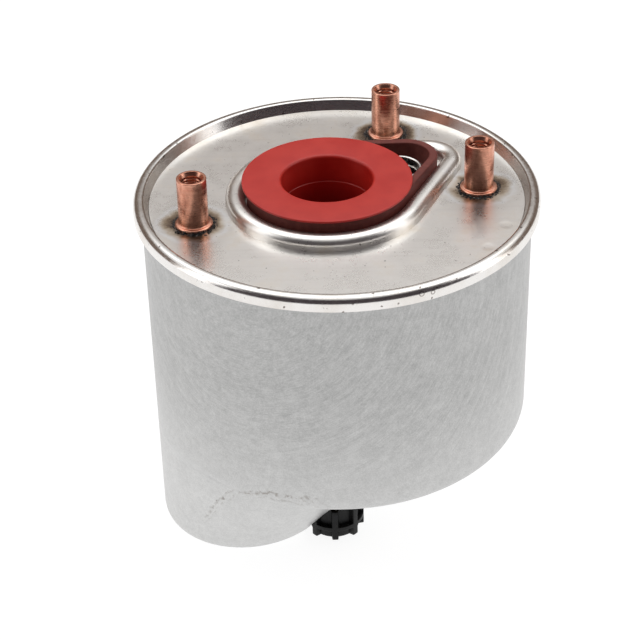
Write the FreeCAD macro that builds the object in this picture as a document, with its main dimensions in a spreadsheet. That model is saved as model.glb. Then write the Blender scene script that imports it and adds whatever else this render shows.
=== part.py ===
"""Sealed canister filter for fuel: rolled steel cover on a drawn aluminium can with an off-centre sump.

Millimetres, +Z up. The origin is on the can's axis, in the plane of the three stud ends, where the bracket lies.
Driving sizes are in the sheet "Sizes"; every sub-part is one labelled object with its own Placement.
"""
import FreeCAD, Part
import math
import os
import Sketcher

V = FreeCAD.Vector
doc = FreeCAD.newDocument("canister_filter")

# ---------------------------------------------------------------- driving sizes
SIZES = {
    # can
    "can_radius": 47.1,           # outer radius of the can wall
    "can_wall": 0.6,
    "can_floor_depth": 73.6,      # origin to the underside of the raised floor
    "can_floor_fillet": 5.0,
    "flange_width": 1.1,          # flange of the can, caught in the rolled seam
    # sump, an oblique cone below the floor that touches the can wall on one side
    "sump_depth": 104.0,          # origin to the sump's underside
    "sump_radius": 20.5,          # at the bottom
    "sump_mouth_radius": 37.0,    # where it meets the floor
    "sump_fillet": 4.0,
    "sump_angle": 186.0,          # direction of the sump from the axis, degrees
    "sump_inset": 0.3,            # between the sump's nearest side and the can wall
    # cover
    "stud_length": 13.4,          # cover plate to stud end
    "dish_depth": 3.3,            # cover plate below the rim's top
    "cover_sheet": 0.7,
    "plate_inset": 2.1,           # from the can wall to the foot of the dish
    "dish_lean": 0.4,             # the dish's wall leans out by this halfway up
    "rim_overhang": 1.9,          # rim outside the can wall
    "rim_band": 2.6,              # width of the rim's flat top
    "skirt_height": 3.6,
    "seal_thickness": 0.6,        # sealing compound inside the seam
    "seam_play": 0.1,             # flange to the rolled sheet
    "skirt_gap": 0.2,             # can wall to the skirt, and dish wall to the seal
    # ports and the bead round them
    "port_x": -2.2,
    "port_y": -0.3,
    "port_radius": 12.3,
    "port_angle": 31.8,           # direction from the main port to the side port, degrees
    "side_port_distance": 20.7,
    "side_port_radius": 4.8,
    "collar_height": 2.9,
    "collar_wall": 0.6,
    "bead_radius": 24.0,          # outer foot of the bead round the main port
    "bead_tip_radius": 7.95,
    "bead_tip_distance": 29.3,
    "bead_width": 3.7,
    "bead_height": 3.1,
    "bead_fillet": 1.4,
    "bead_roof": 0.4,             # the bead's hollow stops this much lower than a sheet's thickness
    # port gasket
    "gasket_radius": 19.5,
    "gasket_tip_radius": 7.75,
    "gasket_tip_distance": 22.9,
    "gasket_wall": 2.0,
    "gasket_height": 5.7,
    "gasket_web": 1.5,
    "gasket_ring_gap": 0.2,       # gasket's inner ring to the port collar
    "gasket_ring_wall": 1.5,
    "gasket_web_bite": 0.5,       # the webs run this far into the inner ring
    "gasket_web_drop": 1.0,       # and lie this far below the gasket's top
    # transit plug
    "plug_flange_radius": 20.5,
    "plug_flange": 0.6,
    "plug_bore_radius": 11.0,
    "plug_wall": 1.0,
    "plug_depth": 14.0,
    "plug_lead": 0.5,             # lead-in at the foot of the cup
    "plug_gap": 0.05,             # plug flange above the gasket
    # studs
    "stud_radius": 3.55,
    "stud_foot_radius": 4.5,
    "stud_foot_height": 1.4,
    "thread_radius": 2.1,         # minor radius of the M5 thread
    "thread_depth": 10.5,
    "thread_mouth_radius": 2.75,
    "flash_radius": 6.2,
    "flash_height": 0.7,
    "flash_gap": 0.05,
    # drain
    "drain_x": -2.2,
    "drain_y": -14.0,
    "drain_depth": 102.4,         # origin to the knob's underside
    "drain_knob_radius": 6.3,
    "drain_knob_height": 9.5,
    "drain_rib_radius": 7.55,     # over the grip ribs and the thin ring
    "drain_rib_width": 1.8,
    "drain_rib_count": 8,
    "drain_ring_rise": 3.1,       # ring above the knob's underside
    "drain_ring_thickness": 0.8,
    "drain_rib_bite": 0.6,        # the ribs run this far into the core
    "drain_rib_drop": 0.8,        # and stop this far below the shoulder
    "drain_stem_radius": 3.6,
    "drain_stem_length": 12.5,
    "drain_stem_chamfer": 1.0,
    "drain_passage_radius": 1.5,
    "drain_pocket_radius": 8.6,
    "drain_pocket_gap": 4.0,      # knob's shoulder to the pocket's ceiling, room for the bush
    "drain_boss_radius": 7.2,
    "drain_boss_neck": 5.2,       # where the bush passes the ceiling
    "drain_rivet_width": 0.9,     # riveted lip of the bush above the ceiling
    "drain_rivet_height": 1.6,
    "drain_rivet_play": 0.02,
    "drain_thread_gap": 0.1,
    "drain_seal_step": 0.9,       # from the stem to the O-ring
    "drain_seal_section": 0.38,
    "drain_seal_space": 0.8,      # knob's shoulder to the bush
    # filter element
    "element_top": 22.0,          # origin to the top of the pleats
    "element_height": 42.0,
    "element_inset": 9.1,         # from the can wall to the coalescer sleeve
    "element_core_radius": 17.0,
    "pleat_count": 44,
    "pleat_sheet": 0.8,
    "cap_thickness": 1.6,
    "cap_lip": 3.0,
    "cap_lip_wall": 1.0,
    "tube_window_rows": 3,
    "tube_window_count": 8,
    "tube_wall": 1.2,
    "sleeve_wall": 0.5,
    "spigot_wall": 1.0,
    "spigot_length": 10.0,
    "part_gap": 0.2,              # between neighbouring inner pieces
    "fit_gap": 0.05,              # between pieces that are fitted together
    "ring_thickness": 1.5,        # support ring, locating ring and baffle
    "locating_slot_width": 4.0,
    "locating_slot_count": 16,
    "support_inner_radius": 20.0,
    "support_foot": 2.0,          # width of the ring's foot on the can wall
    "support_foot_drop": 1.0,
    "support_window_count": 12,
    "baffle_radius": 26.0,
    "baffle_depth": 78.5,
    "baffle_x": -12.5,
    "baffle_post_inset": 3.0,
    "baffle_post_count": 3,
    "baffle_hole_count": 10,
    "deflector_inset": 4.1,
    "deflector_sheet": 0.8,
    "deflector_gap": 1.0,         # round the outlet
}
STUDS = {"left": (-33.9, -11.0), "rear": (13.2, 31.5), "right": (34.5, 2.7)}

sheet = doc.addObject("Spreadsheet::Sheet", "Sizes")
rows = dict(SIZES)
for stud, (east, north) in STUDS.items():
    rows["stud_x_" + stud] = east
    rows["stud_y_" + stud] = north
for row, (alias, value) in enumerate(rows.items(), 1):
    sheet.set("A%d" % row, alias)
    sheet.set("B%d" % row, str(value))
    sheet.setAlias("B%d" % row, alias)
doc.recompute()


class Size:
    """A length with both its value and the sheet expression that gives it."""

    def __init__(self, value, text):
        self.value, self.text = value, text

    def joined(self, other, sign, value):
        text = other.text if isinstance(other, Size) else repr(other)
        return Size(value, "(%s %s %s)" % (self.text, sign, text))

    def __add__(self, other):
        return self.joined(other, "+", self.value + number(other))

    def __sub__(self, other):
        return self.joined(other, "-", self.value - number(other))

    def __mul__(self, other):
        return self.joined(other, "*", self.value * number(other))

    def __neg__(self):
        return Size(-self.value, "(0 - %s)" % self.text)


def number(size):
    return size.value if isinstance(size, Size) else size


def now(alias):
    """The sheet's present value of a size."""
    return float(getattr(sheet, alias))


def size(alias):
    return Size(now(alias), "Sizes." + alias)


ZERO = Size(0.0, "0")
PAST = 1.0                        # a cut runs this far past the far side of what it cuts
FULL_TURN = 360.0
NEAR = 0.01                       # two levels or radii closer than this are the same


# ---------------------------------------------------------------- building helpers
def place(obj, east=ZERO, north=ZERO, up=ZERO, turn=ZERO):
    """Binds the object's own Placement to the sheet."""
    obj.Placement = FreeCAD.Placement(V(east.value, north.value, up.value),
                                  FreeCAD.Rotation(V(0, 0, 1), turn.value))
    obj.setExpression("Placement.Base.x", east.text)
    obj.setExpression("Placement.Base.y", north.text)
    obj.setExpression("Placement.Base.z", up.text)
    if turn is not ZERO:
        obj.setExpression("Placement.Rotation.Angle", turn.text)


def new_body(name):
    body = doc.addObject("PartDesign::Body", name)
    body.Label = name
    return body


def new_sketch(body, name, plane="XY_Plane", height=ZERO, offset=(ZERO, ZERO, ZERO)):
    """A sketch on one of the body's own origin planes, raised by height and moved by offset (x, y, angle)."""
    sketch = body.newObject("Sketcher::SketchObject", name)
    base = [item for item in body.Origin.OriginFeatures if item.Role == plane][0]
    sketch.AttachmentSupport = [(base, "")]
    sketch.MapMode = "FlatFace"
    east, north, turn = offset
    sketch.AttachmentOffset = FreeCAD.Placement(V(east.value, north.value, height.value),
                                                FreeCAD.Rotation(V(0, 0, 1), turn.value))
    for axis, length in (("Base.x", east), ("Base.y", north), ("Base.z", height), ("Rotation.Angle", turn)):
        if length is not ZERO:
            sketch.setExpression("AttachmentOffset." + axis, length.text)
    return sketch


def bind(sketch, kind, geometry, dimension):
    """Adds one dimension constraint and ties it to the sheet."""
    index = sketch.addConstraint(Sketcher.Constraint(kind, *geometry, dimension.value))
    sketch.setExpression("Constraints[%d]" % index, dimension.text)


def draw_polygon(sketch, corners):
    """A closed outline whose corners are all dimensioned from the sketch's origin."""
    points = [V(east.value, north.value, 0) for east, north in corners]
    first = sketch.GeometryCount
    count = len(points)
    for index in range(count):
        sketch.addGeometry(Part.LineSegment(points[index], points[(index + 1) % count]))
    for index in range(count):
        following = first + (index + 1) % count
        sketch.addConstraint(Sketcher.Constraint("Coincident", first + index, 2, following, 1))
    for index, (east, north) in enumerate(corners):
        bind(sketch, "DistanceX", (-1, 1, first + index, 1), east)
        bind(sketch, "DistanceY", (-1, 1, first + index, 1), north)


def draw_circle(sketch, radius, east=ZERO, north=ZERO):
    index = sketch.addGeometry(Part.Circle(V(east.value, north.value, 0), V(0, 0, 1), radius.value))
    bind(sketch, "DistanceX", (-1, 1, index, 3), east)
    bind(sketch, "DistanceY", (-1, 1, index, 3), north)
    bind(sketch, "Radius", (index,), radius)


def draw_teardrop(sketch, radius, tip_radius, distance):
    """Two circles on the sketch's X axis joined by their outer tangents."""
    lean = math.acos((radius.value - tip_radius.value) / distance.value)
    up = V(math.cos(lean), math.sin(lean), 0)
    down = V(math.cos(lean), -math.sin(lean), 0)
    tip = V(distance.value, 0, 0)
    big = sketch.addGeometry(Part.ArcOfCircle(Part.Circle(V(), V(0, 0, 1), radius.value),
                                              lean, 2 * math.pi - lean))
    small = sketch.addGeometry(Part.ArcOfCircle(Part.Circle(tip, V(0, 0, 1), tip_radius.value),
                                                -lean, lean))
    low = sketch.addGeometry(Part.LineSegment(down * radius.value, tip + down * tip_radius.value))
    high = sketch.addGeometry(Part.LineSegment(tip + up * tip_radius.value, up * radius.value))
    for pair in ((big, 2, low, 1), (low, 2, small, 1), (small, 2, high, 1), (high, 2, big, 1)):
        sketch.addConstraint(Sketcher.Constraint("Tangent", *pair))
    sketch.addConstraint(Sketcher.Constraint("Coincident", big, 3, -1, 1))
    sketch.addConstraint(Sketcher.Constraint("PointOnObject", small, 3, -1))
    bind(sketch, "DistanceX", (-1, 1, small, 3), distance)
    bind(sketch, "Radius", (big,), radius)
    bind(sketch, "Radius", (small,), tip_radius)


def revolve(body, name, corners):
    """Turns a closed (radius, height) outline about Z."""
    sketch = new_sketch(body, name + "_profile", "XZ_Plane")
    draw_polygon(sketch, corners)
    feature = body.newObject("PartDesign::Revolution", name)
    feature.Profile = sketch
    feature.ReferenceAxis = (sketch, ["V_Axis"])
    feature.Angle = FULL_TURN
    doc.recompute()
    return feature


def pad(body, name, sketch, length, down=False):
    feature = body.newObject("PartDesign::Pad", name)
    feature.Profile = sketch
    feature.Length = length.value
    feature.setExpression("Length", length.text)
    feature.Reversed = down
    doc.recompute()
    return feature


def pocket(body, name, sketch, length, up=False):
    """Cuts down from the sketch, or up, and makes sure that it cut something."""
    before = body.Shape.Volume
    feature = body.newObject("PartDesign::Pocket", name)
    feature.Profile = sketch
    feature.Length = length.value
    feature.setExpression("Length", length.text)
    feature.Reversed = up
    doc.recompute()
    if body.Shape.Volume > before - NEAR:
        raise ValueError("%s cut nothing" % name)
    return feature


def polar(body, name, feature, count):
    """Repeats a feature evenly round the body's Z axis."""
    pattern = body.newObject("PartDesign::PolarPattern", name)
    pattern.Originals = [feature]
    axis = [item for item in body.Origin.OriginFeatures if item.Role == "Z_Axis"][0]
    pattern.Axis = (axis, [""])
    pattern.Angle = FULL_TURN
    pattern.Occurrences = int(count.value)
    pattern.setExpression("Occurrences", count.text)
    body.Tip = pattern
    doc.recompute()
    return pattern


def edges_at(feature, height, radii=None):
    """Names of the edges that lie level at a height, all of them or only those with these radii."""
    names = []
    for index, edge in enumerate(feature.Shape.Edges, 1):
        box = edge.BoundBox
        level = abs(box.ZMin - height) < NEAR and abs(box.ZMax - height) < NEAR
        if not level:
            continue
        round_edge = hasattr(edge.Curve, "Radius")
        if radii is None or (round_edge and any(abs(edge.Curve.Radius - r) < NEAR for r in radii)):
            names.append("Edge%d" % index)
    return names


def fillet(body, name, feature, edge_names, radius):
    rounded = body.newObject("PartDesign::Fillet", name)
    rounded.Base = (feature, edge_names)
    rounded.Radius = radius.value
    rounded.setExpression("Radius", radius.text)
    doc.recompute()
    return rounded


# ---------------------------------------------------------------- levels shared by the pieces
stud_length = size("stud_length")
plate_z = -stud_length                                  # top of the cover plate
rim_z = plate_z + size("dish_depth")                    # top of the rim
sheet_metal = size("cover_sheet")
seam_seal_z = rim_z - sheet_metal                       # top of the sealing compound
can_top_z = seam_seal_z - size("seal_thickness")
can_radius = size("can_radius")
can_inner = can_radius - size("can_wall")
element_radius = can_radius - size("element_inset")
floor_z = -size("can_floor_depth")
gasket_top_z = plate_z + size("gasket_height")
cap_top_z = size("cap_thickness") - size("element_top")
cap_low_z = -size("element_top") - size("element_height")
gap = size("part_gap")
support_z = cap_low_z - size("cap_thickness")           # underside of the lower cap
drain_low_z = -size("drain_depth")
drain_top_z = drain_low_z + size("drain_knob_height")    # knob's shoulder
drain_ceiling_z = drain_top_z + size("drain_pocket_gap")
port_place = (size("port_x"), size("port_y"), size("port_angle"))


# ---------------------------------------------------------------- can
def sump_cone(inset, lift):
    """The sump's oblique cone, drawn inwards by inset and raised by lift for the inner face."""
    radius = now("sump_radius") - inset
    mouth = now("sump_mouth_radius") - inset
    direction = math.radians(now("sump_angle"))
    reach = now("can_radius") - now("sump_inset")
    bottom = lift - now("sump_depth")
    top = now("can_floor_fillet") - now("can_floor_depth")
    rings = []
    for level, ring_radius in ((bottom, radius), (top, mouth)):
        offset = reach - inset - ring_radius
        centre = V(offset * math.cos(direction), offset * math.sin(direction), level)
        rings.append(Part.Wire([Part.makeCircle(ring_radius, centre)]))
    cone = Part.makeLoft(rings, True, True)
    rim = [edge for edge in cone.Edges if edge.BoundBox.ZMax < bottom + NEAR]
    return cone.makeFillet(now("sump_fillet") - inset, rim)


def can_block(inset, lift, top, pocket_growth):
    """The can's solid outline: wall, floor, sump and the pocket that the drain knob sits in."""
    radius = now("can_radius") - inset
    bottom = lift - now("can_floor_depth")
    barrel = Part.makeCylinder(radius, top - bottom, V(0, 0, bottom))
    rim = [edge for edge in barrel.Edges if edge.BoundBox.ZMax < bottom + NEAR]
    barrel = barrel.makeFillet(now("can_floor_fillet") - inset, rim)
    ceiling = drain_ceiling_z.value + pocket_growth
    below = -now("sump_depth") - PAST
    relief = Part.makeCylinder(now("drain_pocket_radius") + pocket_growth, ceiling - below,
                               V(now("drain_x"), now("drain_y"), below))
    return barrel.fuse(sump_cone(inset, lift).cut(relief))


def make_canister():
    """Drawn can: flanged wall, raised floor and off-centre sump, one wall thickness all over."""
    wall = now("can_wall")
    top = can_top_z.value
    outside = can_block(0.0, 0.0, top, 0.0)
    inside = can_block(wall, wall, top + PAST, wall)
    flange = Part.makeCylinder(now("can_radius") + now("flange_width"), wall,
                               V(0, 0, top - wall))
    drain_hole = Part.makeCylinder(now("drain_boss_neck") + now("fit_gap"), wall + 2 * PAST,
                                   V(now("drain_x"), now("drain_y"), drain_ceiling_z.value - PAST))
    shell = outside.fuse(flange).cut(inside).cut(drain_hole)
    can = doc.addObject("Part::Feature", "canister")
    can.Label = "canister"
    can.Shape = shell.removeSplitter()
    can.Placement = FreeCAD.Placement()
    return can


# ---------------------------------------------------------------- cover
def make_cover():
    """Steel cover: dished plate, rolled rim, hollow teardrop bead and two collared ports."""
    body = new_body("cover")
    rim = can_radius + size("rim_overhang")
    rim_inner = rim - size("rim_band")
    plate = can_radius - size("plate_inset")
    hook = size("flange_width") + size("seam_play") + can_radius
    lean = plate + size("dish_lean")
    skirt = can_radius + size("skirt_gap")
    skirt_z = rim_z - size("skirt_height")
    step_z = rim_z - size("dish_depth") * 0.5
    curl_z = can_top_z - size("can_wall") - size("seam_play")
    under_z = plate_z - sheet_metal
    shell = revolve(body, "dish", [
        (ZERO, plate_z), (plate, plate_z), (lean, step_z), (rim_inner, rim_z), (rim, rim_z),
        (rim, skirt_z), (skirt, skirt_z), (skirt, curl_z), (hook, curl_z), (hook, seam_seal_z),
        (rim_inner + size("skirt_gap"), seam_seal_z), (lean + sheet_metal, step_z),
        (plate + sheet_metal, under_z), (ZERO, under_z)])
    names = edges_at(shell, rim_z.value, [rim.value]) + edges_at(shell, skirt_z.value, [rim.value])
    shell = fillet(body, "rim_round", shell, names, sheet_metal)

    bead = new_sketch(body, "bead_outline", height=plate_z, offset=port_place)
    draw_teardrop(bead, size("bead_radius"), size("bead_tip_radius"), size("bead_tip_distance"))
    draw_teardrop(bead, size("bead_radius") - size("bead_width"),
                  size("bead_tip_radius") - size("bead_width"), size("bead_tip_distance"))
    ridge = pad(body, "bead", bead, size("bead_height"))
    crest = edges_at(ridge, plate_z.value + now("bead_height"))
    ridge = fillet(body, "bead_round", ridge, crest, size("bead_fillet"))

    hollow = new_sketch(body, "bead_hollow_outline", height=under_z, offset=port_place)
    for side in (sheet_metal, size("bead_width") - sheet_metal):
        draw_teardrop(hollow, size("bead_radius") - side, size("bead_tip_radius") - side,
                      size("bead_tip_distance"))
    pocket(body, "bead_hollow", hollow, size("bead_height") - size("bead_roof"), up=True)

    collars = new_sketch(body, "collar_outline", height=plate_z, offset=port_place)
    ports = ((size("port_radius"), ZERO), (size("side_port_radius"), size("side_port_distance")))
    for radius, distance in ports:
        draw_circle(collars, radius + size("collar_wall"), distance)
    pad(body, "collars", collars, size("collar_height"))
    holes = new_sketch(body, "port_outline", height=plate_z + size("collar_height"), offset=port_place)
    for radius, distance in ports:
        draw_circle(holes, radius, distance)
    pocket(body, "ports", holes, size("collar_height") + sheet_metal + PAST)
    place(body)


def make_seam_seal():
    """Ring of sealing compound between the can's flange and the rolled cover."""
    body = new_body("seam_seal")
    inner = can_inner + size("skirt_gap")
    outer = can_radius + size("flange_width")
    revolve(body, "ring", [(inner, seam_seal_z), (outer, seam_seal_z), (outer, can_top_z),
                           (inner, can_top_z)])
    place(body)


# ---------------------------------------------------------------- studs
def make_stud(name, east, north):
    """Threaded weld stud: foot, barrel, blind bore with a countersunk mouth."""
    body = new_body(name)
    foot = size("stud_foot_radius")
    barrel = size("stud_radius")
    bore = size("thread_radius")
    mouth = size("thread_mouth_radius")
    foot_z = plate_z + size("stud_foot_height")
    sink_z = bore - mouth
    floor = -size("thread_depth")
    turned = revolve(body, "turned", [(ZERO, plate_z), (foot, plate_z), (foot, foot_z),
                                      (barrel, foot_z), (barrel, ZERO), (mouth, ZERO),
                                      (bore, sink_z), (bore, floor), (ZERO, floor - bore * 0.5)])
    foot_edge = edges_at(turned, foot_z.value, [foot.value])
    fillet(body, "edges", turned, foot_edge, size("stud_radius") * 0.1)
    place(body, size(east), size(north))


def make_flash(name, east, north):
    """Ring of weld flash round a stud's foot."""
    body = new_body(name)
    inner = size("stud_foot_radius") + size("flash_gap")
    outer = size("flash_radius")
    crown = inner + (outer - inner) * 0.35
    top = plate_z + size("flash_height")
    revolve(body, "ring", [(inner, plate_z), (outer, plate_z), (outer - size("flash_gap"),
                           plate_z + size("flash_height") * 0.4), (crown, top), (inner, top)])
    place(body, size(east), size(north))


# ---------------------------------------------------------------- gasket and transit plug
def make_gasket():
    """Teardrop rubber gasket: outer loop round both ports, inner ring round the main one."""
    body = new_body("port_gasket")
    wall = size("gasket_wall")
    loop = new_sketch(body, "loop_outline")
    draw_teardrop(loop, size("gasket_radius"), size("gasket_tip_radius"), size("gasket_tip_distance"))
    draw_teardrop(loop, size("gasket_radius") - wall, size("gasket_tip_radius") - wall,
                  size("gasket_tip_distance"))
    pad(body, "loop", loop, size("gasket_height"))
    ring_inner = size("port_radius") + size("collar_wall") + size("gasket_ring_gap")
    ring = new_sketch(body, "ring_outline")
    draw_circle(ring, ring_inner + size("gasket_ring_wall"))
    draw_circle(ring, ring_inner)
    pad(body, "ring", ring, size("gasket_height"))
    ribs = new_sketch(body, "rib_outline")
    half = size("gasket_web") * 0.5
    near = ring_inner + size("gasket_web_bite")
    far = size("gasket_radius") - wall * 0.5
    draw_polygon(ribs, [(-far, -half), (-near, -half), (-near, half), (-far, half)])
    draw_polygon(ribs, [(-half, near), (half, near), (half, far), (-half, far)])
    draw_polygon(ribs, [(-half, -far), (half, -far), (half, -near), (-half, -near)])
    pad(body, "ribs", ribs, size("gasket_height") - size("gasket_web_drop"))
    place(body, size("port_x"), size("port_y"), plate_z, size("port_angle"))


def make_plug():
    """Moulded transit plug: thin flange on the gasket and a deep cup down the main port."""
    body = new_body("transit_plug")
    under = gasket_top_z + size("plug_gap")
    top = under + size("plug_flange")
    bore = size("plug_bore_radius")
    cup = bore + size("plug_wall")
    bottom = top - size("plug_depth")
    lead = size("plug_lead")
    moulded = revolve(body, "moulding", [
        (ZERO, bottom), (cup - lead, bottom), (cup, bottom + lead * 3), (cup, under),
        (size("plug_flange_radius"), under), (size("plug_flange_radius"), top), (bore, top),
        (bore, bottom + size("plug_wall")), (ZERO, bottom + size("plug_wall"))])
    mouth = edges_at(moulded, top.value, [bore.value])
    fillet(body, "mouth", moulded, mouth, size("plug_flange") * 0.5)
    place(body, size("port_x"), size("port_y"))


# ---------------------------------------------------------------- drain
def make_drain_boss():
    """Threaded bush riveted into the pocket's ceiling."""
    body = new_body("drain_boss")
    bore = size("drain_stem_radius") + size("drain_thread_gap")
    outer = size("drain_boss_radius")
    neck = size("drain_boss_neck")
    low = drain_top_z + size("drain_seal_space")
    play = size("drain_rivet_play")
    below = drain_ceiling_z - play
    above = drain_ceiling_z + size("can_wall") + play
    lip = neck + size("drain_rivet_width")
    lip_z = above + size("drain_rivet_height")
    revolve(body, "bush", [
        (bore, low), (outer, low), (outer, below), (neck, below), (neck, above),
        (lip, above), (lip, lip_z), (bore, lip_z)])
    place(body, size("drain_x"), size("drain_y"))


def make_drain_knob():
    """Drain screw: knob with grip ribs and a thin ring, threaded stem and a drain passage."""
    body = new_body("drain_knob")
    core = size("drain_knob_radius")
    grip = size("drain_rib_radius")
    stem = size("drain_stem_radius")
    ring_low = drain_low_z + size("drain_ring_rise")
    ring_high = ring_low + size("drain_ring_thickness")
    stem_z = drain_top_z + size("drain_stem_length")
    chamfer = size("drain_stem_chamfer")
    revolve(body, "turned", [
        (ZERO, drain_low_z), (core, drain_low_z), (core, ring_low), (grip, ring_low),
        (grip, ring_high), (core, ring_high), (core, drain_top_z), (stem, drain_top_z),
        (stem, stem_z - chamfer), (stem - chamfer, stem_z), (ZERO, stem_z)])
    rib = new_sketch(body, "rib_outline", height=drain_low_z)
    half = size("drain_rib_width") * 0.5
    root = core - size("drain_rib_bite")
    draw_polygon(rib, [(root, -half), (grip, -half), (grip, half), (root, half)])
    ribs = pad(body, "rib", rib, size("drain_knob_height") - size("drain_rib_drop"))
    polar(body, "ribs", ribs, size("drain_rib_count"))
    passage = new_sketch(body, "passage_outline", height=drain_low_z)
    draw_circle(passage, size("drain_passage_radius"))
    pocket(body, "passage", passage, size("drain_knob_height") + size("drain_stem_length") * 0.6,
           up=True)
    place(body, size("drain_x"), size("drain_y"))


def make_drain_seal():
    """O-ring on the stem, between the knob's shoulder and the bush."""
    ring = doc.addObject("Part::Torus", "drain_seal")
    ring.Label = "drain_seal"
    section = size("drain_seal_section")
    mean = size("drain_stem_radius") + section + size("drain_seal_step")
    ring.Radius1 = mean.value
    ring.Radius2 = section.value
    ring.setExpression("Radius1", mean.text)
    ring.setExpression("Radius2", section.text)
    place(ring, size("drain_x"), size("drain_y"), drain_top_z + size("drain_seal_space") * 0.5)


# ---------------------------------------------------------------- filter element
def make_pleats():
    """Folded paper: one closed zigzag strip between the core and the outside."""
    outer = element_radius.value - now("sleeve_wall") - now("part_gap")
    inner = now("element_core_radius") + now("tube_wall") + now("part_gap")
    count = int(now("pleat_count"))
    paper = now("pleat_sheet")
    outline = []
    for side in (0.0, paper):
        loop = []
        for fold in range(2 * count):
            angle = math.pi * fold / count
            reach = (outer - paper + side) if fold % 2 else (inner + side)
            loop.append(V(reach * math.cos(angle), reach * math.sin(angle), 0))
        outline.append(Part.Face(Part.makePolygon(loop + loop[:1])))
    strip = outline[1].cut(outline[0])
    solid = strip.extrude(V(0, 0, now("element_height")))
    pleats = doc.addObject("Part::Feature", "pleated_element")
    pleats.Label = "pleated_element"
    pleats.Shape = solid
    pleats.Placement = FreeCAD.Placement(V(0, 0, cap_low_z.value), FreeCAD.Rotation())


def make_end_caps():
    """Moulded caps that hold the pleats' ends, the upper one open for the outlet."""
    edge = element_radius + gap
    outer = edge + size("cap_lip_wall")
    for name, level, direction, inner in (
            ("upper_end_cap", -size("element_top"), 1.0, size("element_core_radius")),
            ("lower_end_cap", cap_low_z, -1.0, ZERO)):
        body = new_body(name)
        far = level + size("cap_thickness") * direction
        lip = level - size("cap_lip") * direction
        revolve(body, "disc", [(inner, level), (edge, level), (edge, lip), (outer, lip),
                               (outer, far), (inner, far)])
        place(body)


def make_centre_tube():
    """Perforated tube that keeps the pleats open."""
    body = new_body("centre_tube")
    inner = size("element_core_radius")
    outer = inner + size("tube_wall")
    top = -size("element_top")
    revolve(body, "tube", [(inner, cap_low_z), (outer, cap_low_z), (outer, top), (inner, top)])
    window = new_sketch(body, "window_outline", "XZ_Plane")
    half = inner * 0.15
    row_count = int(now("tube_window_rows"))
    pitch = size("element_height") * (1.0 / row_count)
    for row in range(row_count):
        low = cap_low_z + pitch * (row + 0.25)
        high = low + pitch * 0.6
        draw_polygon(window, [(-half, low), (half, low), (half, high), (-half, high)])
    cut = pocket(body, "windows", window, outer + PAST)
    polar(body, "window_rows", cut, size("tube_window_count"))
    place(body)


def make_sleeve():
    """Coalescer sleeve round the pleats."""
    body = new_body("coalescer_sleeve")
    outer = element_radius
    inner = outer - size("sleeve_wall")
    top = -size("element_top")
    revolve(body, "sleeve", [(inner, cap_low_z), (outer, cap_low_z), (outer, top), (inner, top)])
    place(body)


def make_outlet():
    """Outlet spigot under the main port and the seal between it and the upper cap."""
    inner = size("port_radius")
    outer = inner + size("spigot_wall")
    top = plate_z - sheet_metal
    spigot = new_body("outlet_spigot")
    low = top - size("spigot_length")
    revolve(spigot, "tube", [(inner, low), (outer, low), (outer, top), (inner, top)])
    place(spigot, size("port_x"), size("port_y"))
    seal = new_body("outlet_seal")
    hole = size("element_core_radius") - size("fit_gap")
    revolve(seal, "ring", [(ZERO, -size("element_top")), (hole, -size("element_top")),
                           (hole, cap_top_z), (ZERO, cap_top_z)])
    bore = new_sketch(seal, "bore_outline", height=cap_top_z)
    draw_circle(bore, outer + size("fit_gap"), size("port_x"), size("port_y"))
    pocket(seal, "bore", bore, size("cap_thickness") + PAST)
    place(seal)


def make_element_mounts():
    """Ring that centres the element in the can and ring that carries it above the sump."""
    can_bore = can_inner - gap
    slot_inner = element_radius + gap + size("cap_lip_wall") + gap
    thickness = size("ring_thickness")
    locating = new_body("locating_ring")
    top = -size("element_top")
    revolve(locating, "ring", [(slot_inner, top - thickness), (can_bore, top - thickness),
                               (can_bore, top), (slot_inner, top)])
    slot = new_sketch(locating, "slot_outline", height=top)
    middle = (slot_inner - gap + can_bore) * 0.5
    half = size("locating_slot_width") * 0.5
    reach = size("cap_lip")
    draw_polygon(slot, [(middle - half, -reach), (middle + half, -reach), (middle + half, reach),
                        (middle - half, reach)])
    slot = pocket(locating, "slot", slot, thickness + PAST)
    polar(locating, "slots", slot, size("locating_slot_count"))
    place(locating)

    support = new_body("support_ring")
    inner = size("support_inner_radius")
    low = support_z - thickness
    foot = can_bore - size("support_foot")
    foot_z = low - size("support_foot_drop")
    revolve(support, "ring", [(inner, low), (foot, low), (foot, foot_z), (can_bore, foot_z),
                              (can_bore, support_z), (inner, support_z)])
    window = new_sketch(support, "window_outline", height=support_z)
    draw_circle(window, size("cap_lip") * 1.3, (inner + can_bore) * 0.5 + size("support_foot") * 0.5)
    window = pocket(support, "window", window, thickness + PAST)
    polar(support, "windows", window, size("support_window_count"))
    place(support)


def make_baffle():
    """Perforated baffle over the settled water, hung from the support ring on posts."""
    body = new_body("water_baffle")
    radius = size("baffle_radius")
    thickness = size("ring_thickness")
    plate = new_sketch(body, "plate_outline")
    draw_circle(plate, radius)
    pad(body, "plate", plate, thickness)
    post = new_sketch(body, "post_outline")
    draw_circle(post, thickness, radius - size("baffle_post_inset"))
    rise = support_z - thickness - size("fit_gap") + size("baffle_depth")
    polar(body, "posts", pad(body, "post", post, rise), size("baffle_post_count"))
    hole = new_sketch(body, "hole_outline", height=thickness)
    draw_circle(hole, thickness * 1.3, radius * 0.6)
    polar(body, "holes", pocket(body, "hole", hole, thickness + PAST), size("baffle_hole_count"))
    place(body, size("baffle_x"), ZERO, -size("baffle_depth"))


def make_deflector():
    """Flat ring on the upper cap that spreads the incoming fuel outwards."""
    body = new_body("inlet_deflector")
    inner = size("element_core_radius") + size("deflector_gap")
    high = cap_top_z + size("deflector_sheet")
    outer = can_radius - size("deflector_inset")
    revolve(body, "plate", [(inner, cap_top_z), (outer, cap_top_z), (outer, high), (inner, high)])
    place(body)


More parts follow.
